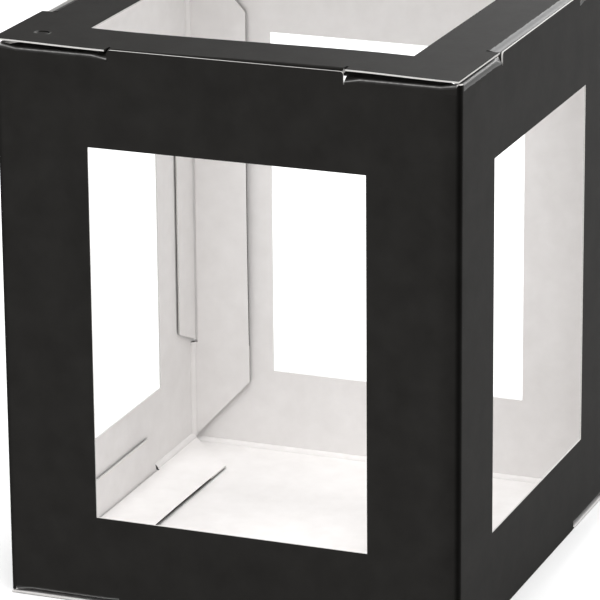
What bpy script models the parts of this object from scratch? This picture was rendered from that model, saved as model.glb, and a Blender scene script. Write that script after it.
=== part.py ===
"""Windowed lantern box folded from one die-cut sheet of board, standing up and closed.

Four walls stand in a ring.  A lid panel and a bottom panel hinge on the back wall's top and bottom
creases.  On every other edge of the lid and bottom, and on the upright edge between the back and left
walls, the box is held by a slot lock: the wall keeps a raised lip, a flap folds in beside it and leaves
a slot, and a tab of the neighbouring panel drops through that slot behind the lip.

Metres, +Z up, front towards -Y, right towards +X, origin at the centre of the underside.
Every plate lies in a frame of three directions: along its crease, into the plate, and out of its black
coated face.  Plates in one fold keep a small gap where the board bends.
"""

import math

import bpy
from mathutils import Matrix, Vector

# Driving dimensions
WIDTH = 0.150          # outside, left to right
DEPTH = 0.150          # outside, front to back
HEIGHT = 0.180
BOARD = 0.0005         # thickness of the board
GAP = 0.0003           # left between two plates that meet

# Windows
SIDE_BORDER = 0.030    # wall left beside a wall window
SILL = 0.029           # wall left below a wall window
WINDOW_HEIGHT = 0.120
LID_BORDER = 0.0225    # lid left around its window
HOLE_INSET = 0.0115    # hanging hole's centre, from both outer faces of its corner
HOLE_RADIUS = 0.0021
HOLE_SIDES = 20

# Slot locks
LOCK_START = 0.037     # from a corner of the box to the lip
CREASE_DROP = 0.0018   # outer face of the flap's crease, inside the panel's outer face
SLIT = 0.0007          # width of the relief cut beside a lip
SLIT_DEPTH = 0.0020    # its depth past the crease
LIP_ROUND = 0.0008     # radius of a lip's outer corners
POST_WIDTH = 0.0007    # upstand that the wall keeps at a folded corner
POST_RISE = 0.0006

# Flaps
FLAP_REACH = 0.0212    # crease to free edge
FLAP_END = 0.0028      # from the box's corner to the flap's root
FLAP_ROUND = 0.0010
FLAP_TILT = math.radians(2.8)   # the free edge springs towards the panel that it lies against
SLOT = 0.0026          # slot in the flap's root, behind the lip

# Tabs
TAB_REACH = 0.0155
TAB_SET = 0.0009       # outer face of the tab's fold, inside the lip's inner face
TAB_PLAY = 0.0005      # between the tab's root and the lip's end
TAB_TAPER = 0.0065     # each end slants in by this much
TAB_ROUND = 0.0010
TAB_LEAN = math.radians(1.5)    # the tab leans towards the lip

ARC_STEPS = 4
HALF_W = WIDTH / 2
HALF_D = DEPTH / 2
FOLD_EDGE = BOARD + TAB_SET             # a tab's outer face, from the box's outer face
PANEL_EDGE = FOLD_EDGE + BOARD          # the panel's edge behind the tab
HINGE_START = BOARD + GAP               # a panel's edge at its own crease, from the outer face
CREASE_AXIS = CREASE_DROP + BOARD       # a flap's hinge line, on the inner side of its crease

RIGHT = Vector((1, 0, 0))
BACK = Vector((0, 1, 0))
UP = Vector((0, 0, 1))

BLACK_BOARD = ((0.030, 0.029, 0.028, 1.0), 0.55)
WHITE_BOARD = ((0.800, 0.790, 0.770, 1.0), 0.85)


def clear_scene():
    for obj in list(bpy.data.objects):
        bpy.data.objects.remove(obj, do_unlink=True)


def collection(name):
    found = bpy.data.collections.new(name)
    bpy.context.scene.collection.children.link(found)
    return found


def board_material(name, finish):
    color, roughness = finish
    material = bpy.data.materials.new(name + "_board")
    material.use_nodes = True
    shader = material.node_tree.nodes["Principled BSDF"]
    shader.inputs["Base Color"].default_value = color
    shader.inputs["Roughness"].default_value = roughness
    shader.inputs["Metallic"].default_value = 0.0
    material.diffuse_color = color
    return material


def crease(name, origin, into, out, lean=0.0):
    """An empty on a crease: local X along it, Y into the plate, Z out of the coated face.

    A positive lean turns the plate towards its coated side."""
    along = into.cross(out)
    turn = Matrix((along, into, out)).transposed().to_4x4()
    empty = bpy.data.objects.new(name, None)
    empty.empty_display_size = 0.01
    empty.matrix_world = Matrix.Translation(origin) @ turn @ Matrix.Rotation(lean, 4, "X")
    PARTS.objects.link(empty)
    return empty


def rounded(corner, before, after, radius):
    """Points of an arc that rounds a corner between its two neighbours."""
    p, a, b = (Vector(v) for v in (corner, before, after))
    to_a = (a - p).normalized()
    to_b = (b - p).normalized()
    half = to_a.angle(to_b) / 2
    reach = radius / math.tan(half)
    centre = p + (to_a + to_b).normalized() * (radius / math.sin(half))
    start = p + to_a * reach - centre
    end = p + to_b * reach - centre
    sweep = start.angle(end)
    points = []
    for step in range(ARC_STEPS + 1):
        t = step / ARC_STEPS
        arm = (start * math.sin((1 - t) * sweep) + end * math.sin(t * sweep)) / math.sin(sweep)
        points.append(tuple(centre + arm))
    return points


def smoothed(outline):
    """An outline whose points may carry a third value, the radius of that corner."""
    points = []
    for i, point in enumerate(outline):
        if len(point) == 2:
            points.append(point)
            continue
        before = outline[i - 1][:2]
        after = outline[(i + 1) % len(outline)][:2]
        points += rounded(point[:2], before, after, point[2])
    return points


def plate(name, parent, outline, coated_at_axis, finish, holes=()):
    """A flat board cut to an outline, in the plane of its crease's frame.

    coated_at_axis says whether the coated face or the inner face passes through the crease."""
    curve = bpy.data.curves.new(name, "CURVE")
    curve.dimensions = "2D"
    curve.fill_mode = "BOTH"
    curve.extrude = BOARD / 2
    for loop in (smoothed(outline), *holes):
        spline = curve.splines.new("POLY")
        spline.points.add(len(loop) - 1)
        for point, (x, y) in zip(spline.points, loop):
            point.co = (x, y, 0.0, 1.0)
        spline.use_cyclic_u = True
    curve.materials.append(board_material(name, finish))
    obj = bpy.data.objects.new(name, curve)
    obj.parent = parent
    obj.location = (0, 0, -BOARD / 2 if coated_at_axis else BOARD / 2)
    PARTS.objects.link(obj)
    return obj


def rectangle(left, right, low, high):
    return [(left, low), (right, low), (right, high), (left, high)]


def circle(x, y, radius):
    turns = [2 * math.pi * i / HOLE_SIDES for i in range(HOLE_SIDES)]
    return [(x + radius * math.cos(a), y + radius * math.sin(a)) for a in turns]


def fold_corner(inset):
    """A locked edge's end where the board folds on into the next wall: (distance, height over crease)."""
    return [(inset, POST_RISE), (inset + POST_WIDTH, POST_RISE), (FLAP_END - GAP, 0.0)]


def open_corner():
    """A locked edge's end where another locked edge begins."""
    return [(CREASE_DROP, 0.0)]


def locked_edge(length, first_end, last_end):
    """A wall's edge with its lip and relief slits: (distance from the corner, height over crease)."""
    lip = [
        (LOCK_START - SLIT, 0.0),
        (LOCK_START - SLIT / 4, -SLIT_DEPTH),
        (LOCK_START, SLIT / 2 - SLIT_DEPTH),
        (LOCK_START, CREASE_DROP, LIP_ROUND),
    ]
    last = [(length - s, *rest) for s, *rest in reversed(last_end + lip)]
    return first_end + lip + last


def panel_side(length):
    """The step in a panel's edge where its tab folds down: (distance from the corner, depth)."""
    start = LOCK_START - SLIT
    end = length - start
    return [(start, 0.0), (start, PANEL_EDGE), (end, PANEL_EDGE), (end, 0.0)]


def wall_rim(half, first_end, last_end):
    """The locked bottom edge, left to right, and the locked top edge, right to left."""
    edge = locked_edge(2 * half, first_end, last_end)
    bottom = [(s - half, CREASE_DROP - h, *radius) for s, h, *radius in edge]
    top = [(s - half, HEIGHT - CREASE_DROP + h, *radius) for s, h, *radius in reversed(edge)]
    return bottom, top


def front_outline():
    bottom, top = wall_rim(HALF_W, fold_corner(0.0), fold_corner(0.0))
    return bottom + top


def right_outline():
    bottom, top = wall_rim(HALF_D, fold_corner(HINGE_START), fold_corner(HINGE_START))
    return bottom + top


def left_outline():
    """Its back edge, on the left seen from outside, is locked as well."""
    bottom, top = wall_rim(HALF_D, open_corner(), fold_corner(HINGE_START))
    edge = locked_edge(HEIGHT, open_corner(), open_corner())[1:-1]
    side = [(CREASE_DROP - h - HALF_D, HEIGHT - s, *radius) for s, h, *radius in edge]
    return bottom + top + side


def back_outline():
    """Plain where it bends into the lid, bottom and right wall, stepped where its tab folds in."""
    step = [(HALF_W - depth, s) for s, depth in panel_side(HEIGHT)]
    return [(-HALF_W, 0.0), (HALF_W, 0.0)] + step + [(HALF_W, HEIGHT), (-HALF_W, HEIGHT)]


def panel_outline():
    """The lid or the bottom, from its crease on the back wall forwards."""
    right = [(HALF_W - depth, s) for s, depth in panel_side(DEPTH)]
    front = [(HALF_W - s, DEPTH - depth) for s, depth in panel_side(WIDTH)]
    left = [(-x, y) for x, y in reversed(right)]
    near = [(HALF_W, HINGE_START)]
    return near + right + [(HALF_W, DEPTH)] + front + [(-HALF_W, DEPTH)] + left + [(-HALF_W, HINGE_START)]


def flap_outline(length):
    """A trapezoid with a slot in its root, behind the wall's lip."""
    half = length / 2
    root = half - FLAP_END
    tip = root - (FLAP_REACH - GAP)
    slot = half - LOCK_START + SLIT
    right = [(slot, SLOT), (slot, GAP), (root, GAP), (tip, FLAP_REACH, FLAP_ROUND)]
    left = [(-x, *rest) for x, *rest in reversed(right)]
    return right + left


def tab_outline(length):
    root = length / 2 - LOCK_START - TAB_PLAY
    tip = root - TAB_TAPER
    right = [(root, HINGE_START), (tip, TAB_REACH, TAB_ROUND)]
    left = [(-x, *rest) for x, *rest in reversed(right)]
    return right + left


def walls():
    """Four walls, left to right seen from outside, each in a frame on its outer face."""
    window = rectangle(SIDE_BORDER - HALF_W, HALF_W - SIDE_BORDER, SILL, SILL + WINDOW_HEIGHT)
    side_window = rectangle(SIDE_BORDER - HALF_D, HALF_D - SIDE_BORDER, SILL, SILL + WINDOW_HEIGHT)
    rows = (
        ("front", -BACK, HALF_D, front_outline(), window),
        ("right", RIGHT, HALF_W, right_outline(), side_window),
        ("back", BACK, HALF_D, back_outline(), window),
        ("left", -RIGHT, HALF_W, left_outline(), side_window),
    )
    for side, out, distance, outline, opening in rows:
        face = crease(side + "_wall_frame", out * distance, UP, out)
        plate(side + "_wall", face, outline, True, BLACK_BOARD, [opening])


def panel(name, height, out, holes):
    """The lid or the bottom on its crease, with a tab on each of its three free edges."""
    hinge = crease(name + "_axis", BACK * HALF_D + UP * height, -BACK, out)
    plate(name + "_panel", hinge, panel_outline(), True, BLACK_BOARD, holes)
    rows = (
        ("front", -BACK, HALF_D, WIDTH),
        ("right", RIGHT, HALF_W, DEPTH),
        ("left", -RIGHT, HALF_W, DEPTH),
    )
    for side, outwards, distance, length in rows:
        tab = f"{name}_{side}_tab"
        fold = outwards * (distance - FOLD_EDGE) + UP * height
        axis = crease(tab + "_axis", fold, -out, outwards, TAB_LEAN)
        plate(tab, axis, tab_outline(length), True, WHITE_BOARD)


def flaps(name, height, out):
    """The flaps that fold in from the front, right and left walls under one panel."""
    rows = (
        ("front", -BACK, HALF_D, WIDTH),
        ("right", RIGHT, HALF_W, DEPTH),
        ("left", -RIGHT, HALF_W, DEPTH),
    )
    for side, outwards, distance, length in rows:
        flap = f"{side}_{name}_flap"
        line = outwards * (distance - BOARD) + UP * height - out * CREASE_AXIS
        axis = crease(flap + "_axis", line, -outwards, out, FLAP_TILT)
        plate(flap, axis, flap_outline(length), False, WHITE_BOARD)


def upright_lock():
    """The back left corner: the left wall's flap lies on the back wall, whose tab goes through it."""
    middle = UP * (HEIGHT / 2)
    line = middle - RIGHT * (HALF_W - BOARD) + BACK * (HALF_D - CREASE_AXIS)
    axis = crease("left_back_flap_axis", line, RIGHT, BACK, FLAP_TILT)
    plate("left_back_flap", axis, flap_outline(HEIGHT), False, WHITE_BOARD)
    fold = middle - RIGHT * (HALF_W - FOLD_EDGE) + BACK * HALF_D
    axis = crease("back_left_tab_axis", fold, -BACK, -RIGHT, TAB_LEAN)
    plate("back_left_tab", axis, tab_outline(HEIGHT), True, WHITE_BOARD)


def lid_holes():
    """The lid's window, and two hanging holes near opposite corners."""
    window = rectangle(LID_BORDER - HALF_W, HALF_W - LID_BORDER, LID_BORDER, DEPTH - LID_BORDER)
    inset = HALF_W - HOLE_INSET
    near = circle(-inset, HOLE_INSET, HOLE_RADIUS)
    far = circle(inset, DEPTH - HOLE_INSET, HOLE_RADIUS)
    return [window, near, far]


clear_scene()
PARTS = collection("lantern_box")
walls()
panel("lid", HEIGHT, UP, lid_holes())
panel("bottom", 0.0, -UP, [])
flaps("top", HEIGHT, UP)
flaps("bottom", 0.0, -UP)
upright_lock()
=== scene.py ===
"""Looks for a windowed lantern box of die-cut board: black coated outside, white uncoated inside.

Every piece of board is laid out flat, cut into small triangles and then bent over its creases, so
that the coat runs round each fold in an arc and the liner shows the bead that a scored crease leaves.

Flat places are (w, s): w runs along a crease and s across it on the coated face, as if it were sharp.
"""

import math

import bpy
import numpy as np
from mathutils import Matrix, Vector
from mathutils.geometry import delaunay_2d_cdt

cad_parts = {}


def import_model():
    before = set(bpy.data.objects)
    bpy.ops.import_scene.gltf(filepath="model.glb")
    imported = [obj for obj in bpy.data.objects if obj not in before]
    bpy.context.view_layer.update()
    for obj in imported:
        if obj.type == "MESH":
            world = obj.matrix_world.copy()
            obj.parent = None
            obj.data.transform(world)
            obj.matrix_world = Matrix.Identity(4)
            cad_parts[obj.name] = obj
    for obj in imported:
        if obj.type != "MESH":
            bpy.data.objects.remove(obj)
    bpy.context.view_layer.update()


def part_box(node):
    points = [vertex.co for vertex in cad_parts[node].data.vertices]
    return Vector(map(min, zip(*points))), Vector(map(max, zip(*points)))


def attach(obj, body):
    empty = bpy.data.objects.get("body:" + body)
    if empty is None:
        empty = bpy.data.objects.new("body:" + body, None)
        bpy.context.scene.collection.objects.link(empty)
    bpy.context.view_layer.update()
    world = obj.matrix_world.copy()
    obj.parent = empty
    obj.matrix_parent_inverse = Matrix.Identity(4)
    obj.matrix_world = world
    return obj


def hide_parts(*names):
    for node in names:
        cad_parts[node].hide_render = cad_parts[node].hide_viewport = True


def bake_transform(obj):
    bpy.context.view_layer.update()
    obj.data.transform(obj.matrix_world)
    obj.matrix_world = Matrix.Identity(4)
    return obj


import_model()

RIGHT = np.array((1.0, 0.0, 0.0))
BACK = np.array((0.0, 1.0, 0.0))
UP = np.array((0.0, 0.0, 1.0))

# Outer sizes, from the frame
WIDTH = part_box("front_wall")[1].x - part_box("front_wall")[0].x
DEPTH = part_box("back_wall")[1].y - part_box("front_wall")[0].y
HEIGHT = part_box("front_wall")[1].z
HALF_W = WIDTH / 2
HALF_D = DEPTH / 2

# The sides where the lid and the bottom lock: name, way out, distance from the middle, length
SIDES = (
    ("front", -BACK, HALF_D, WIDTH),
    ("right", RIGHT, HALF_W, DEPTH),
    ("left", -RIGHT, HALF_W, DEPTH),
)

# Board
BOARD = 0.0005
PITCH = 0.005             # size of the triangles in flat board
MILLI = 1000.0            # the board is divided in millimetres
JOINED = 0.002            # points closer than this become one, in millimetres
FINE_STEPS = (-0.0028, -0.0024, -0.0017, -0.0008, 0.0, 0.0008, 0.0017, 0.0024, 0.0028)    # round a hole
SHARP_EDGE = math.radians(38)
NEAR = 0.0001             # a place this close to a line counts as on it
SQUARE = math.radians(90)

# Creases
CREASE = 0.0022           # half the width of board that belongs to a crease
CREASE_STATIONS = 25      # lines that divide that width
COAT_RADIUS = 0.0010      # of the coat round a fold
FRONT_FLAP_RADIUS = 0.0009         # the same on the front wall's top flap
SIDE_FLAP_RADIUS = 0.0016          # and on the left and right walls' ones
BEAD_HALF = 0.0015        # from the inner corner to the ends of the liner's bead
BEAD_SHARE = 0.55         # share of the crease's width that the bead takes
BEAD_RISE = 0.00020
GROOVE = 0.00010          # depth of the grooves beside the bead
GROOVE_WIDTH = 0.11       # and their width, as a share of the crease's
PAINTED_SHADE_PLACE = -0.0006      # the painted shade along an upright fold, from the corner
PAINTED_SHADE_HALF = 0.0014

# Windows and holes
SIDE_BORDER = 0.030
SILL = 0.029
WINDOW_HEIGHT = 0.120
LID_BORDER = 0.0225
HOLE_INSET = 0.0115
HOLE_RADIUS = 0.0022
HOLE_PLACES = ((HOLE_INSET - HALF_W, DEPTH - HOLE_INSET), (HALF_W - HOLE_INSET, HOLE_INSET))
PLUG_RADIUS = 0.0018      # the punched disc that still hangs in the hole
PLUG_SINK = 0.00022
PLUG_STEPS = 15           # points along each of the cuts beside it
NICK = math.radians(26)   # half the angle of each nick that holds the disc
NICK_WEAR = 0.55          # how bare the nicks are
NICK_BAND = (0.0001, 0.0006)       # that fades between these distances from the hole's rim
NICK_SPREAD = (0.70, 0.95)         # and it sets in between these cosines of the angle from a nick

# Slot locks
LOCK_START = 0.037        # from a corner to the lip
DROP = 0.0018             # a flap's crease, below the panel's coated face
SLIT = 0.0002             # between a top flap and the lip
RECESS_PLAY = 0.0007      # from the end of a lip to the step in the panel above it
LIP_ROUND = 0.0010
POST = 0.0011             # half the width of a folded corner's upstand
POST_RISE = 0.0009
POST_END = 0.0018         # where its slanted side would meet the crease
FLAP_END = 0.0016         # from a folded corner to a flap's root
OPEN_END = 0.0028         # the same at the corner that is locked
NECK = 0.0006             # half the width of the wall between the two flaps there, along an edge
RECESS_RIMS = (0.0004, 0.006)      # how far in from a panel's edge its recesses' rims lie

# Flaps
TOP_REACH = 0.0200
FLAP_REACH = 0.0217       # of the bottom's and the upright lock's
FLAP_SQUARE = 0.0015      # a flap's ends run square to its crease up to here, then slant
FLAP_TURN = math.radians(90 - 2.8)
SLOT = 0.0025             # from a flap's crease to its slot's inner edge
TOP_SLOT = 0.0034         # the same on the top flaps
NOTCH_WIDTHS = (0.0007, 0.0014)    # beside a lip the flap's crease dips, over these widths
NOTCH_DEPTH = 0.0012
LOW_NOTCH = 0.0003        # the same on the bottom's flaps
NOTCH_FADE = 0.0018       # how far into the flap the dip fades
SIDE_RISE = 0.0009        # how much higher the left and right walls' top flaps are creased
RISE_FADE = 0.005
LIFT_REACH = 0.0034       # from a corner to where the crease starts to rise to meet the post
SPRING = 0.0003           # how far a bottom flap's free edge stands off the panel, at its middle thrice that
LOCK_SPRING = 0.0006      # the same on the upright lock's flap
CREST_HIGHLIGHT_PLACE = -0.0001      # the painted highlight, a grey line along a flap's fold, from its crease
CREST_HIGHLIGHT_HALF = 0.00018
SIDE_CREST_HIGHLIGHT = 0.3           # how strong that painted highlight is on the left and right walls' top flaps, and 1 on the rest
PRESSED_ARC = 0.9         # half the width that a flap's fold is pressed smooth, in radii

# Tabs
TAB_INSET = 0.0014        # a tab's coated face, from the box's outer face
SHARP_TAB = (TAB_INSET, CREASE, 0.0006)      # inset, half crease and radius of a tab that folds sharply
SOFT_TAB = (0.0009, 0.0036, 0.0026)          # the lid's right one
LEFT_TAB = (0.0016, 0.0036, 0.0026)          # its left one, which its skew brings closer to the wall
TAB_REACH = 0.0155
TAB_PLAY = 0.0002
TAB_TAPER = 0.0065
TAB_TURN = math.radians(90 - 1.0)
PRESSED_SHARE = 0.67      # share of a soft tab's crease that is pressed smooth
CORNER_ROUND = 0.0010     # of a tab's or a flap's free corners

# How the lid sits askew
LID_RISE = 0.0008         # beside the right end of its front lip
CORNER_DROP = 0.8         # share of that rise that is gone again at its front right corner
TIP_RISE = 0.0006         # at its front left corner
LID_SHIFT = 0.0010        # to the left, at its front corners
SHIFT_REACH = 0.010       # how far before the lip's ends that begins


def smooth(low, high, value):
    t = np.clip((value - low) / (high - low), 0.0, 1.0)
    return t * t * (3 - 2 * t)


def crease_point(p, depth, turn, half, radius):
    """A place in a crease's section, as along + 1j * inward from its sharp outer corner.

    p runs from -1 to 1 across the crease, and depth from the coat, 0, to the liner, 1."""
    leave = np.exp(1j * turn)
    tangent = radius * math.tan(turn / 2)
    run = half - tangent
    travel = (p + 1) / 2 * (2 * run + radius * turn)
    swept = np.clip((travel - run) / radius, 0.0, turn)
    coat = -tangent + 1j * radius * (1 - np.exp(1j * swept))
    coat += np.minimum(travel - run, 0.0)
    coat += leave * np.maximum(travel - run - radius * turn, 0.0)
    inward = 1j * (1 + leave)
    corner = inward * BOARD / (1 + math.cos(turn))
    knots = (-1.0, -BEAD_SHARE, BEAD_SHARE, 1.0)
    route = (1j * BOARD - half, corner - BEAD_HALF, corner + leave * BEAD_HALF, leave * (half + 1j * BOARD))
    liner = np.interp(p, knots, np.real(route)) + 1j * np.interp(p, knots, np.imag(route))
    bead = BEAD_RISE * np.cos(np.clip(p / BEAD_SHARE, -1, 1) * math.pi / 2)
    for side in (-BEAD_SHARE, BEAD_SHARE):
        bead = bead - GROOVE * np.exp(-(((p - side) / GROOVE_WIDTH) ** 2))
    liner = liner + bead * inward / abs(inward)
    return coat * (1 - depth) + liner * depth


class Fold:
    """A run of board bent over parallel creases, each one towards its liner side."""

    def __init__(self, corner, along, heading, inward, bends, half=CREASE, radius=COAT_RADIUS):
        self.corner = corner
        self.along = along
        self.heading = heading
        self.inward = inward
        self.bends = bends
        self.half = half
        self.radius = radius

    def place(self, w, s, depth):
        """Where flat places end up, at a depth from the coat, 0, to the liner, 1."""
        section = (s - self.bends[0][0]) + 1j * depth * BOARD
        corner = 0.0
        leave = 1.0
        last = self.bends[0][0]
        for position, turn in self.bends:
            corner = corner + leave * (position - last)
            last = position
            p = (s - position) / self.half
            across = np.clip(p, -1, 1)
            bent = corner + leave * crease_point(across, depth, turn, self.half, self.radius)
            section = np.where(np.abs(p) <= 1, bent, section)
            leave = leave * np.exp(1j * turn)
            after = corner + leave * ((s - position) + 1j * depth * BOARD)
            section = np.where(p > 1, after, section)
        return (
            self.corner
            + np.outer(w, self.along)
            + np.outer(section.real, self.heading)
            + np.outer(section.imag, self.inward)
        )

    def stations(self):
        """Where the flat board is divided across its creases."""
        steps = np.linspace(-1, 1, CREASE_STATIONS) * self.half
        return [position + step for position, _ in self.bends for step in steps]


def rounded(corner, before, after, radius):
    """Points of an arc that rounds a corner between its two neighbours."""
    p, a, b = (Vector(v) for v in (corner, before, after))
    to_a = (a - p).normalized()
    to_b = (b - p).normalized()
    half = to_a.angle(to_b) / 2
    reach = radius / math.tan(half)
    centre = p + (to_a + to_b).normalized() * (radius / math.sin(half))
    start = p + to_a * reach - centre
    end = p + to_b * reach - centre
    sweep = start.angle(end)
    steps = 5
    points = []
    for step in range(steps + 1):
        t = step / steps
        arm = (start * math.sin((1 - t) * sweep) + end * math.sin(t * sweep)) / math.sin(sweep)
        points.append(tuple(centre + arm))
    return points


def smoothed(outline):
    """An outline whose points may carry a third value, the radius of that corner."""
    points = []
    for i, point in enumerate(outline):
        if len(point) == 2:
            points.append(point)
            continue
        before = outline[i - 1][:2]
        after = outline[(i + 1) % len(outline)][:2]
        points += rounded(point[:2], before, after, point[2])
    return points


def inside(places, loops):
    """Whether each place is inside an odd number of the loops."""
    found = np.zeros(len(places), bool)
    x, y = places.T
    for loop in loops:
        ends = np.array(loop)
        starts = np.roll(ends, 1, axis=0)
        for (x0, y0), (x1, y1) in zip(starts, ends):
            if y0 == y1:
                continue
            crosses = (y0 > y) != (y1 > y)
            found ^= crosses & (x < x0 + (y - y0) * (x1 - x0) / (y1 - y0))
    return found


def divided(loops, columns, rows):
    """Flat places and triangles of a plate with holes, divided along the given w and s lines."""
    places = []
    edges = []
    for loop in loops:
        first = len(places)
        places += loop
        edges += [(first + i, first + (i + 1) % len(loop)) for i in range(len(loop))]
    low = np.min(places, axis=0) - PITCH
    high = np.max(places, axis=0) + PITCH
    for w in columns:
        edges.append((len(places), len(places) + 1))
        places += [(w, low[1]), (w, high[1])]
    for s in rows:
        edges.append((len(places), len(places) + 1))
        places += [(low[0], s), (high[0], s)]
    points = [Vector((w * MILLI, s * MILLI)) for w, s in places]
    cut, _, faces, *_ = delaunay_2d_cdt(points, edges, [], 0, JOINED)
    flat = np.array([tuple(v) for v in cut]) / MILLI
    faces = np.array(faces)
    keep = inside(flat[faces].mean(axis=1), loops)
    faces = faces[keep]
    used = np.unique(faces)
    number = np.full(len(flat), -1)
    number[used] = np.arange(len(used))
    return flat[used], number[faces]


def spaced(low, high, avoid=()):
    """Dividing lines about a pitch apart, none of them close to a line that is there already."""
    count = max(1, round((high - low) / PITCH))
    lines = np.linspace(low, high, count + 1)[1:-1]
    return [x for x in lines if all(abs(x - y) > PITCH / 5 for y in avoid)]


def facing_out(places, faces, fold):
    """The triangles, turned so that their normals leave the coat."""
    a, b, c = (places[faces[:, i]] for i in range(3))
    area = (b - a)[:, 0] * (c - a)[:, 1] - (b - a)[:, 1] * (c - a)[:, 0]
    faces = np.where((area > 0)[:, None], faces, faces[:, ::-1])
    if np.dot(np.cross(fold.along, fold.heading), fold.inward) > 0:
        faces = faces[:, ::-1]
    return faces


def open_sides(faces):
    """The sides that only one triangle has, which run along the cut edges."""
    sides = {}
    for face in faces.tolist():
        for start, end in zip(face, face[1:] + face[:1]):
            if (end, start) in sides:
                del sides[(end, start)]
            else:
                sides[(start, end)] = True
    return list(sides)


def store(mesh, label, kind, field, values):
    """Keeps a value or a vector for each point of the mesh, under this label."""
    layer = mesh.attributes.new(label, kind, "POINT")
    layer.data.foreach_set(field, values.astype(np.float32).ravel())


def board(name, fold, outline, holes=(), bow=None, close=(), dark_edged=None, pressed=None, **shares):
    """One piece of board, from its flat outline and holes, bent over its fold.

    bow moves its points, and close lists places that need finer triangles. inked says which cut edges take
    the
    black coat instead of the pale core: seams between pieces, and cuts in shade, painted dark; pressed where
    the coat is smooth, and shares are kept as the mesh's attributes."""
    loops = [smoothed(outline), *holes]
    low, high = np.min(loops[0], axis=0), np.max(loops[0], axis=0)
    stations = [s for s in fold.stations() if low[1] < s < high[1]]
    rows = stations + spaced(low[1], high[1], stations)
    columns = spaced(low[0], high[0])
    columns += [w + step for w, _ in close for step in FINE_STEPS]
    rows += [s + step for _, s in close for step in FINE_STEPS]
    places, faces = divided(loops, columns, rows)
    faces = facing_out(places, faces, fold)
    sides = open_sides(faces)
    count = len(places)
    w, s = places.T
    layers = []
    for depth in (0.0, 1.0):
        points = fold.place(w, s, depth)
        if bow is not None:
            points = points + bow(w, s, points)
        layers.append(points)
    coat = faces.tolist()
    liner = (faces[:, ::-1] + count).tolist()
    rim = [(end, start, start + count, end + count) for start, end in sides]
    mesh = bpy.data.meshes.new(name)
    mesh.from_pydata(np.concatenate(layers).tolist(), [], coat + liner + rim)
    for material in MATERIALS:
        mesh.materials.append(material)
    index = [COAT] * len(coat) + [LINER] * len(liner)
    if pressed is not None:
        smooth_faces = pressed(w, s)[faces].mean(axis=1) > 0.5
        index[: len(coat)] = np.where(smooth_faces, PRESSED_COAT, COAT).tolist()
    # Edges at seams between pieces take the coat; cut edges in slots, recess steps and hole rims take it
    # too, as painted shade in place of the pale core
    for start, end in sides:
        coated = dark_edged is not None and dark_edged(*(places[start] + places[end]) / 2)
        index.append(COAT if coated else CORE)
    mesh.polygons.foreach_set("material_index", index)
    for label, share in shares.items():
        store(mesh, label, "FLOAT", "value", np.tile(share(w, s), 2))
    depths = np.repeat((0.0, BOARD), count)
    store(mesh, "sheet", "FLOAT_VECTOR", "vector", np.column_stack((np.tile(w, 2), np.tile(s, 2), depths)))
    mesh.shade_smooth()
    mesh.set_sharp_from_angle(angle=SHARP_EDGE)
    mesh.validate()
    piece = bpy.data.objects.new(name + "_board", mesh)
    bpy.context.scene.collection.objects.link(piece)
    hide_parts(name)
    return piece


# Colours, each from its darker to its lighter end
FLAT_BLACK = ((0.0160, 0.0153, 0.0143), (0.0210, 0.0202, 0.0190))
# Painted shade: near black along each upright fold, for the rounded corner's dark reflection
PAINTED_FOLD_SHADE = ((0.0020, 0.0018, 0.0015), (0.0032, 0.0030, 0.0026))
# Grey bare fibre at the lid's torn nicks, and the same grey as a painted highlight along the flaps' folds
FIBRE_AND_HIGHLIGHT_GREY = ((0.16, 0.158, 0.155), (0.34, 0.335, 0.33))
LINER_WHITE = ((0.825, 0.806, 0.795), (0.875, 0.858, 0.849))
CORE_WHITE = ((0.56, 0.545, 0.53), (0.70, 0.69, 0.67))


def attribute(nodes, name):
    node = nodes.new("ShaderNodeAttribute")
    node.attribute_name = name
    return node


def noise(nodes, sheet, scale, detail, stretch=(1, 1, 1)):
    """A noise texture over the sheet, its scale in features per metre."""
    links = nodes.id_data.links
    mapping = nodes.new("ShaderNodeMapping")
    mapping.inputs["Scale"].default_value = stretch
    links.new(sheet.outputs["Vector"], mapping.inputs["Vector"])
    texture = nodes.new("ShaderNodeTexNoise")
    texture.inputs["Scale"].default_value = scale
    texture.inputs["Detail"].default_value = detail
    texture.inputs["Roughness"].default_value = 0.6
    links.new(mapping.outputs["Vector"], texture.inputs["Vector"])
    return texture.outputs["Fac"]


def ramp(nodes, source, colors, low=0.3, high=0.7):
    """Turns a value from low to high into the first to the last of the colours."""
    node = nodes.new("ShaderNodeValToRGB")
    for element, position, color in zip(node.color_ramp.elements, (low, high), colors):
        element.position = position
        element.color = (*color, 1)
    nodes.id_data.links.new(source, node.inputs["Fac"])
    return node.outputs["Color"]


def mixed(nodes, share, first, last):
    """Mixes two colours by an attribute, from the first at 0 to the last at 1."""
    node = nodes.new("ShaderNodeMix")
    node.data_type = "RGBA"
    links = nodes.id_data.links
    links.new(share.outputs["Fac"], node.inputs["Factor"])
    links.new(first, node.inputs["A"])
    links.new(last, node.inputs["B"])
    return node.outputs["Result"]


def span(nodes, source, first, last):
    """Turns a value from 0 to 1 into one from first to last."""
    node = nodes.new("ShaderNodeMapRange")
    node.inputs["To Min"].default_value = first
    node.inputs["To Max"].default_value = last
    nodes.id_data.links.new(source, node.inputs["Value"])
    return node.outputs["Result"]


def bump(nodes, source, strength, distance, before=None):
    """Turns a height into a normal, on top of the normal before it."""
    node = nodes.new("ShaderNodeBump")
    node.inputs["Strength"].default_value = strength
    node.inputs["Distance"].default_value = distance
    nodes.id_data.links.new(source, node.inputs["Height"])
    if before is not None:
        nodes.id_data.links.new(before, node.inputs["Normal"])
    return node.outputs["Normal"]


def new_material(name):
    """A material with its nodes, links and shader, and the flat places that its textures lie on."""
    material = bpy.data.materials.new(name)
    material.use_nodes = True
    nodes = material.node_tree.nodes
    return material, nodes, material.node_tree.links, nodes["Principled BSDF"], attribute(nodes, "sheet")


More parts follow.
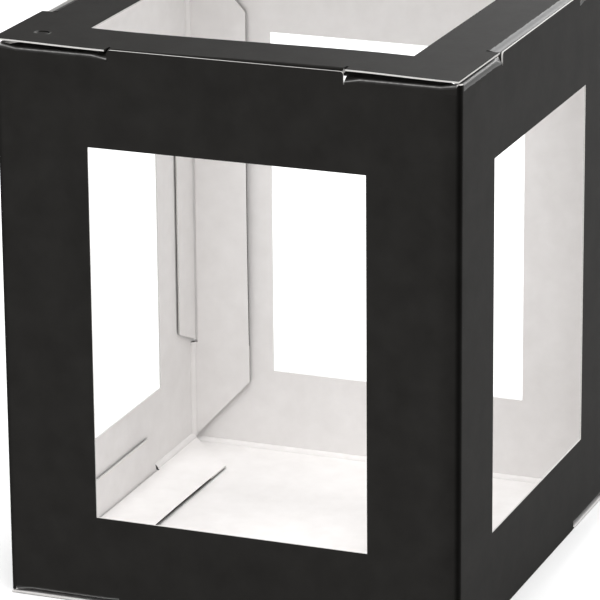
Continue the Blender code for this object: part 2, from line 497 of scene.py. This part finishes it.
def coat_material(name, gloss, smoothest, roughest):
    """Black dispersion coat over fibres: grey where the nicks are torn to bare fibre, grey along the flaps'
    folds as a painted highlight, and darker along the walls' upright folds as painted shade.
    """
    material, nodes, links, shader, sheet = new_material(name)
    cloud = noise(nodes, sheet, scale=90, detail=4)
    fibre = noise(nodes, sheet, scale=1500, detail=3, stretch=(0.35, 1, 1))
    grain = noise(nodes, sheet, scale=5200, detail=2)
    color = ramp(nodes, cloud, FLAT_BLACK)
    # painted shade along the walls' upright folds
    color = mixed(nodes, attribute(nodes, "creased"), color, ramp(nodes, cloud, PAINTED_FOLD_SHADE))
    # grey: bare fibre at the torn nicks, and a painted highlight along the flaps' folds
    color = mixed(nodes, attribute(nodes, "worn"), color, ramp(nodes, fibre, FIBRE_AND_HIGHLIGHT_GREY, 0.35, 0.65))
    links.new(color, shader.inputs["Base Color"])
    links.new(span(nodes, fibre, smoothest, roughest), shader.inputs["Roughness"])
    shader.inputs["Specular IOR Level"].default_value = gloss
    rough = bump(nodes, fibre, strength=0.25, distance=0.00006)
    fine = bump(nodes, grain, strength=0.15, distance=0.00002, before=rough)
    links.new(fine, shader.inputs["Normal"])
    return material


def liner_material():
    """Uncoated white liner: soft, slightly mottled, with faint grey fibres."""
    material, nodes, links, shader, sheet = new_material("white_liner")
    cloud = noise(nodes, sheet, scale=120, detail=5)
    fibre = noise(nodes, sheet, scale=1100, detail=4, stretch=(0.25, 1, 1))
    links.new(ramp(nodes, cloud, LINER_WHITE), shader.inputs["Base Color"])
    shader.inputs["Roughness"].default_value = 0.9
    shader.inputs["Specular IOR Level"].default_value = 0.25
    links.new(bump(nodes, fibre, strength=0.3, distance=0.00006), shader.inputs["Normal"])
    return material


def core_material():
    """The cut edge of the board, pale and fibrous."""
    material, nodes, links, shader, sheet = new_material("raw_core")
    fibre = noise(nodes, sheet, scale=2500, detail=3, stretch=(0.5, 0.5, 3))
    links.new(ramp(nodes, fibre, CORE_WHITE), shader.inputs["Base Color"])
    shader.inputs["Roughness"].default_value = 0.95
    links.new(bump(nodes, fibre, strength=0.4, distance=0.00004), shader.inputs["Normal"])
    return material


MATERIALS = (
    coat_material("black_coat", gloss=0.03, smoothest=0.55, roughest=0.65),
    liner_material(),
    core_material(),
    coat_material("pressed_coat", gloss=0.26, smoothest=0.42, roughest=0.50),
)
COAT, LINER, CORE, PRESSED_COAT = range(len(MATERIALS))


def rectangle(w0, w1, s0, s1):
    return [(w0, s0), (w1, s0), (w1, s1), (w0, s1)]


def post():
    """Half of the upstand at a folded corner: (distance from the corner, height over the crease)."""
    height = POST_RISE * (POST_END - FLAP_END) / (POST_END - POST)
    return [(CREASE, -CREASE), (FLAP_END, -CREASE), (FLAP_END, height), (POST, POST_RISE)]


def folded_end(owned):
    """A locked edge's end at a folded corner, whose post belongs to one of the two walls."""
    if owned:
        return [(-x, h) for x, h in post()] + post()[:0:-1]
    return post()[:1]


def open_end():
    """The same at the corner that is locked, where the wall runs out between two flaps."""
    return [(DROP, 0.0), (DROP + NECK, 0.0), (DROP + NECK + CREASE, -CREASE)]


def locked_edge(length, first, last):
    """A wall's edge with its lip: (distance, height over the crease), from one corner to the other.

    Where a flap is creased on, the wall ends at the start of that crease."""
    lip = [(LOCK_START, -CREASE), (LOCK_START, DROP, LIP_ROUND)]
    back = [(length - x, *rest) for x, *rest in reversed(last + lip)]
    return first + lip + back


def wall_outline(start, length, first, last):
    """A wall locked at its top and bottom, as (height, place round the ring)."""
    edge = locked_edge(length, first, last)
    bottom = [(DROP - h, start + x, *radius) for x, h, *radius in edge]
    top = [(HEIGHT - DROP + h, start + x, *radius) for x, h, *radius in reversed(edge)]
    return bottom + top


def left_outline():
    """The left wall, which is locked along its back edge too."""
    lock = locked_edge(HEIGHT, open_end(), open_end())[1:-1]
    side = [(HEIGHT - x, DROP - h - DEPTH, *radius) for x, h, *radius in lock]
    return wall_outline(-DEPTH, DEPTH, open_end(), folded_end(False)) + side


def back_outline(start):
    """The back wall, with the panels creased on at its top and bottom and a tab at its far end."""
    last = start + WIDTH
    recess = [(x, last - depth) for x, depth in step(HEIGHT, TAB_INSET + CREASE, play=0.0)]
    near = [(DROP - h, start - x) for x, h in post()]
    near += [(DROP - POST_RISE, start + CREASE), (CREASE, start + CREASE)]
    far = [(HEIGHT - w, s) for w, s in reversed(near)]
    return near + [(CREASE, last)] + recess + [(HEIGHT - CREASE, last)] + far


def window(start, length):
    return rectangle(SILL, SILL + WINDOW_HEIGHT, start + SIDE_BORDER, start + length - SIDE_BORDER)


def step(length, depth, play=RECESS_PLAY):
    """The recess in a panel's edge where a tab is creased on: (distance along, depth)."""
    start = LOCK_START - play
    return [(start, 0.0), (start, depth), (length - start, depth), (length - start, 0.0)]


def wall_seams(w, s):
    """The ends of the wall under its flaps, which meet the flaps' creases."""
    return min(abs(w - DROP - CREASE), abs(HEIGHT - DROP - CREASE - w)) < NEAR


def walls():
    """Four walls in a ring, from the left wall's free edge round to the back wall's."""
    bends = [(0.0, SQUARE), (WIDTH, SQUARE), (WIDTH + DEPTH, SQUARE)]
    corner = -RIGHT * HALF_W - BACK * HALF_D
    ring = Fold(corner, UP, -BACK, RIGHT, bends)
    owned = folded_end(True)
    plain = folded_end(False)
    rows = (
        ("left_wall", left_outline(), window(-DEPTH, DEPTH)),
        ("front_wall", wall_outline(0.0, WIDTH, owned, owned), window(0.0, WIDTH)),
        ("right_wall", wall_outline(WIDTH, DEPTH, plain, plain), window(WIDTH, DEPTH)),
        ("back_wall", back_outline(WIDTH + DEPTH), window(WIDTH + DEPTH, WIDTH)),
    )

    def creased(w, s):
        """Painted shade: a darker line along each upright fold, for the dark reflection in its rounded
        corner.
        """
        return sum(np.exp(-(((s - position - PAINTED_SHADE_PLACE) / PAINTED_SHADE_HALF) ** 2)) for position, _ in bends)

    for name, outline, opening in rows:
        piece = board(name, ring, outline, [opening], dark_edged=wall_seams, creased=creased)
        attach(piece, "walls")


def hinged(piece):
    """Bakes the piece's placement into its mesh."""
    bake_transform(piece)


def panel_outline(right_depth, left_depth):
    """The lid or the bottom, from its crease on the back wall forwards, stepped this deep at its sides."""
    right = [(HALF_W - depth, x) for x, depth in step(DEPTH, right_depth)]
    front = [(HALF_W - x, DEPTH - depth) for x, depth in step(WIDTH, TAB_INSET + CREASE)]
    left = [(depth - HALF_W, x) for x, depth in reversed(step(DEPTH, left_depth))]
    shoulder = HALF_W - CREASE
    near = [(shoulder, -CREASE), (shoulder, CREASE), (HALF_W, CREASE)]
    far = [(-HALF_W, -CREASE)]
    return near + right + [(HALF_W, DEPTH)] + front + [(-HALF_W, DEPTH)] + left + far


def joined(right, left):
    """An outline from its right half and the mirror image of its left half."""
    return right + [(-w, *rest) for w, *rest in reversed(left)]


def tab_outline(length, half, play):
    root = length / 2 - LOCK_START - play
    right = [(root, -half), (root, 0.0), (root - TAB_TAPER, TAB_REACH, CORNER_ROUND)]
    return joined(right, right)


def flap_outline(length, ends, reach, slit, slot):
    """A trapezoid with ends at 45 degrees, on two roots beside its slot.

    At the corner that is locked, the root is cut off askew, so that the wall runs out between two flaps."""
    lip = length / 2 - LOCK_START + slit
    halves = []
    for end in ends:
        tip = length / 2 - end
        root = [(tip, -CREASE)]
        if end == OPEN_END:
            root = [(length / 2 - DROP - NECK - CREASE, -CREASE), (tip, DROP + NECK - end)]
        slant = [(tip, FLAP_SQUARE), (tip - reach, reach, CORNER_ROUND)]
        halves.append([(lip, slot), (lip, -CREASE)] + root + slant)
    left, right = halves
    return joined(right, left)


def tab(
    name, corner, heading, inward, length,
    half=CREASE, radius=COAT_RADIUS, play=TAB_PLAY, bow=None,
):
    """A tab on a panel or on the back wall, which goes into a slot between a lip and a flap."""
    fold = Fold(corner, np.cross(inward, heading), heading, inward, [(0.0, TAB_TURN)], half, radius)
    soft = radius > COAT_RADIUS

    def pressed(w, s):
        return (np.abs(s) < PRESSED_SHARE * half) & soft

    # the root's edges inside the crease: seams, and short cut sides painted dark as shade
    def dark_edged(w, s):
        return s < 0

    piece = board(name, fold, tab_outline(length, half, play), bow=bow, pressed=pressed, dark_edged=dark_edged)
    hinged(piece)


def flap(
    name, corner, heading, inward, length, ends, reach, notch,
    radius=COAT_RADIUS, rise=0.0, spring=0.0, crest_highlight=1.0, slit=0.0, slot=SLOT,
):
    """A flap on a wall, whose ends say how far from each corner it starts.

    Its crease is rise higher than the wall's own, and dips by notch beside the lip. spring is how far its
    free edge stands off the panel, crest_highlight how strong the painted highlight along its fold is, and
    slit and slot the edges of its slot."""
    fold = Fold(corner, np.cross(inward, heading), heading, inward, [(0.0, FLAP_TURN)], radius=radius)
    lip = length / 2 - LOCK_START

    def bow(w, s, points):
        """The crease dips beside the lip and rises to the posts at the folded corners."""
        width = np.where(w < 0, *NOTCH_WIDTHS)
        dip = (notch + rise) * np.clip((lip + width - np.abs(w)) / width, 0, 1)
        posts = np.where(w < 0, *ends) == FLAP_END
        lift = POST_RISE * posts * smooth(length / 2 - LIFT_REACH, length / 2 - POST_END, np.abs(w))
        near = np.where(s < 0, 1 + s / CREASE, np.exp(-((s / NOTCH_FADE) ** 2)))
        far = np.where(s < 0, 1 + s / CREASE, np.exp(-((s / RISE_FADE) ** 2)))
        free = np.clip(s / reach, 0, 1) ** 2
        sprung = spring * free * (1 + 2 * np.cos(w * math.pi / length) ** 2)
        return np.outer(np.maximum(lift, rise) * far - dip * near - sprung, heading)

    # Painted highlight: a grey line along the crest of the fold
    def worn(w, s):
        return crest_highlight * np.exp(-(((s - CREST_HIGHLIGHT_PLACE) / CREST_HIGHLIGHT_HALF) ** 2))

    def pressed(w, s):
        return np.abs(s) < PRESSED_ARC * radius

    # the slot's cut edges, painted dark as shade, and the seam at the root
    def dark_edged(w, s):
        return abs(w) < lip + SLIT + NEAR or s < NEAR - CREASE

    outline = flap_outline(length, ends, reach, slit, slot)
    piece = board(name, fold, outline, bow=bow, worn=worn, pressed=pressed, dark_edged=dark_edged)
    hinged(piece)


def panel_dark_edged(w, s):
    """The recesses at the tabs, and the rims of the hanging holes: seams, and cut edges painted dark as
    shade.
    """
    edge = min(HALF_W - abs(w), DEPTH - s)
    hole = min(math.dist((w, s), place) for place in HOLE_PLACES)
    return RECESS_RIMS[0] < edge < RECESS_RIMS[1] or hole < 2 * HOLE_RADIUS


def panel(name, height, out, holes, right, left, bow=None, skew=None, close=(), **shares):
    """The lid or the bottom, with its tabs: right and left say how far in and how softly those two fold."""
    corner = BACK * HALF_D + UP * height
    fold = Fold(corner, RIGHT, out, -BACK, [(0.0, SQUARE)])
    outline = panel_outline(right[0] + right[1], left[0] + left[1])
    piece = board(name + "_panel", fold, outline, holes, bow, close, panel_dark_edged, **shares)
    hinged(piece)
    for side, outwards, distance, length in SIDES:
        inset, half, radius = {"front": SHARP_TAB, "right": right, "left": left}[side]
        edge = outwards * (distance - inset) + UP * height
        tab(f"{name}_{side}_tab", edge, outwards, -out, length, half, radius, bow=skew)


def top_flaps():
    usual = {"slit": SLIT, "slot": TOP_SLOT}
    front = {"radius": FRONT_FLAP_RADIUS, **usual}
    beside = {"radius": SIDE_FLAP_RADIUS, "rise": SIDE_RISE, "crest_highlight": SIDE_CREST_HIGHLIGHT, **usual}
    for side, outwards, distance, length in SIDES:
        name = f"{side}_top_flap"
        edge = outwards * distance + UP * (HEIGHT - DROP)
        ends = (OPEN_END, FLAP_END) if side == "left" else (FLAP_END, FLAP_END)
        look = front if side == "front" else beside
        flap(name, edge, UP, -outwards, length, ends, TOP_REACH, NOTCH_DEPTH, **look)


def bottom_flaps():
    for side, outwards, distance, length in SIDES:
        name = f"{side}_bottom_flap"
        edge = outwards * distance + UP * DROP
        ends = (FLAP_END, OPEN_END) if side == "left" else (FLAP_END, FLAP_END)
        flap(name, edge, -UP, -outwards, length, ends, FLAP_REACH, LOW_NOTCH, spring=SPRING)


def upright_lock():
    middle = UP * HEIGHT / 2
    ends = (OPEN_END, OPEN_END)
    edge = middle - RIGHT * HALF_W + BACK * (HALF_D - DROP)
    flap("left_back_flap", edge, BACK, RIGHT, HEIGHT, ends, FLAP_REACH, 0.0, spring=LOCK_SPRING)
    edge = middle - RIGHT * (HALF_W - TAB_INSET) + BACK * HALF_D
    tab("back_left_tab", edge, -RIGHT, -BACK, HEIGHT, play=0.0)


def slots(w, s):
    """The two curved cuts that leave a punched disc hanging by its nicks."""
    found = []
    for middle in (math.pi / 2, -math.pi / 2):
        reach = math.pi / 2 - NICK
        turns = np.linspace(middle - reach, middle + reach, PLUG_STEPS)
        outer = [(w + HOLE_RADIUS * math.cos(a), s + HOLE_RADIUS * math.sin(a)) for a in turns]
        inner = [(w + PLUG_RADIUS * math.cos(a), s + PLUG_RADIUS * math.sin(a)) for a in reversed(turns)]
        found.append(outer + inner)
    return found


def lid_holes():
    """The lid's window, and a hanging hole near two opposite corners."""
    opening = rectangle(LID_BORDER - HALF_W, HALF_W - LID_BORDER, LID_BORDER, DEPTH - LID_BORDER)
    found = [opening]
    for w, s in HOLE_PLACES:
        found += slots(w, s)
    return found


def from_hole(w, s):
    """The distance to the nearest hanging hole's centre, and the angle round it."""
    reach = [(w - middle) + 1j * (s - place) for middle, place in HOLE_PLACES]
    nearest = np.where(np.abs(reach[0]) < np.abs(reach[1]), *reach)
    return np.abs(nearest), np.angle(nearest)


def lid_skew(w, s, points):
    """The lid sits askew: its front edge lifts off the lip, and it is drawn to the left."""
    x, y, _ = points.T
    forward = np.clip((HALF_D - y) / DEPTH, 0, 1)
    lip_end = HALF_W - LOCK_START
    beside = smooth(-lip_end, lip_end, x) * (1 - CORNER_DROP * smooth(lip_end, HALF_W, x))
    rise = LID_RISE * beside + TIP_RISE * smooth(-lip_end, -HALF_W, x)
    shift = LID_SHIFT * smooth(lip_end - SHIFT_REACH, HALF_W, np.abs(x))
    return np.outer(rise * forward, UP) - np.outer(shift * forward, RIGHT)


def lid_bow(w, s, points):
    """The askew lid, with the punched discs pressed in a little."""
    distance, _ = from_hole(w, s)
    sink = PLUG_SINK * (1 - smooth(PLUG_RADIUS, HOLE_RADIUS, distance))
    return lid_skew(w, s, points) - np.outer(sink, UP)


def lid_worn(w, s):
    """Bare fibre where the nicks have torn."""
    distance, angle = from_hole(w, s)
    nick = 1 - smooth(*NICK_BAND, np.abs(distance - HOLE_RADIUS))
    return NICK_WEAR * nick * smooth(*NICK_SPREAD, np.abs(np.cos(angle)))


walls()
panel("lid", HEIGHT, UP, lid_holes(), SOFT_TAB, LEFT_TAB, lid_bow, lid_skew, HOLE_PLACES, worn=lid_worn)
panel("bottom", 0.0, -UP, [], SHARP_TAB, SHARP_TAB)
top_flaps()
bottom_flaps()
upright_lock()


# Camera, at the photograph's viewing angle
VIEW_TARGET = Vector((-0.0041, -0.0041, 0.0832))
VIEW_AZIMUTH = math.radians(21.468)
VIEW_ELEVATION = math.radians(18.004)
VIEW_ROLL = math.radians(-0.492)
VIEW_DISTANCE = 1.3246
LENS = 248.7              # millimetres, as is the sensor
SENSOR = 36.0

# Studio
SUN_STRENGTH = 2.75
SUN_SPREAD = math.radians(40)
SUN_DIRECTION = (-0.05, 0.31, -1.0)
WORLD_STRENGTH = 0.45
FLOOR_SIZE = 40
FLOOR_GAP = 0.0002        # under the box, so that the two faces don't coincide
FLOOR_GREY = (0.92, 0.92, 0.92, 1)


def camera():
    data = bpy.data.cameras.new("camera")
    data.lens = LENS
    data.sensor_width = SENSOR
    data.clip_start = 0.05
    data.clip_end = 50.0
    view = bpy.data.objects.new("camera", data)
    bpy.context.scene.collection.objects.link(view)
    flat = math.cos(VIEW_ELEVATION)
    back = Vector((math.sin(VIEW_AZIMUTH) * flat, -math.cos(VIEW_AZIMUTH) * flat, math.sin(VIEW_ELEVATION)))
    turn = aimed(-back).to_matrix().to_4x4()
    roll = Matrix.Rotation(VIEW_ROLL, 4, "Z")
    view.matrix_world = Matrix.Translation(VIEW_TARGET + back * VIEW_DISTANCE) @ turn @ roll
    bpy.context.scene.camera = view


def aimed(direction):
    """The rotation of a camera or a lamp that looks this way."""
    return Vector(direction).to_track_quat("-Z", "Y")


def lamp(name, kind, power, direction):
    data = bpy.data.lights.new(name, kind)
    data.energy = power
    light = bpy.data.objects.new(name, data)
    light.rotation_euler = aimed(direction).to_euler()
    bpy.context.scene.collection.objects.link(light)
    return light


def area_light(name, place, target, size, power):
    light = lamp(name, "AREA", power, Vector(target) - Vector(place))
    light.location = place
    light.visible_camera = False
    light.data.shape = "RECTANGLE"
    light.data.size, light.data.size_y = size


def lights():
    """A wide soft sun from above, and two weak lamps from behind for the edges."""
    overhead = lamp("overhead", "SUN", SUN_STRENGTH, SUN_DIRECTION)
    overhead.data.angle = SUN_SPREAD
    area_light("behind", place=(0.1, 1.5, 0.55), target=(0, 0, 0.17), size=(1.2, 0.5), power=14.5)
    area_light("rim", place=(0.50, 1.25, 0.64), target=(0.07, 0, 0.18), size=(0.35, 0.35), power=3.5)


def world():
    studio = bpy.data.worlds.new("studio")
    studio.use_nodes = True
    background = studio.node_tree.nodes["Background"]
    background.inputs["Color"].default_value = (1, 1, 1, 1)
    background.inputs["Strength"].default_value = WORLD_STRENGTH
    bpy.context.scene.world = studio


def floor():
    bpy.ops.mesh.primitive_plane_add(size=FLOOR_SIZE, location=(0, 0, -FLOOR_GAP))
    plane = bpy.context.object
    plane.name = "studio_floor"
    material = bpy.data.materials.new("studio_floor")
    material.use_nodes = True
    shader = material.node_tree.nodes["Principled BSDF"]
    shader.inputs["Base Color"].default_value = FLOOR_GREY
    shader.inputs["Roughness"].default_value = 0.9
    plane.data.materials.append(material)


camera()
world()
lights()
floor()
bpy.context.scene.view_settings.view_transform = "Standard"
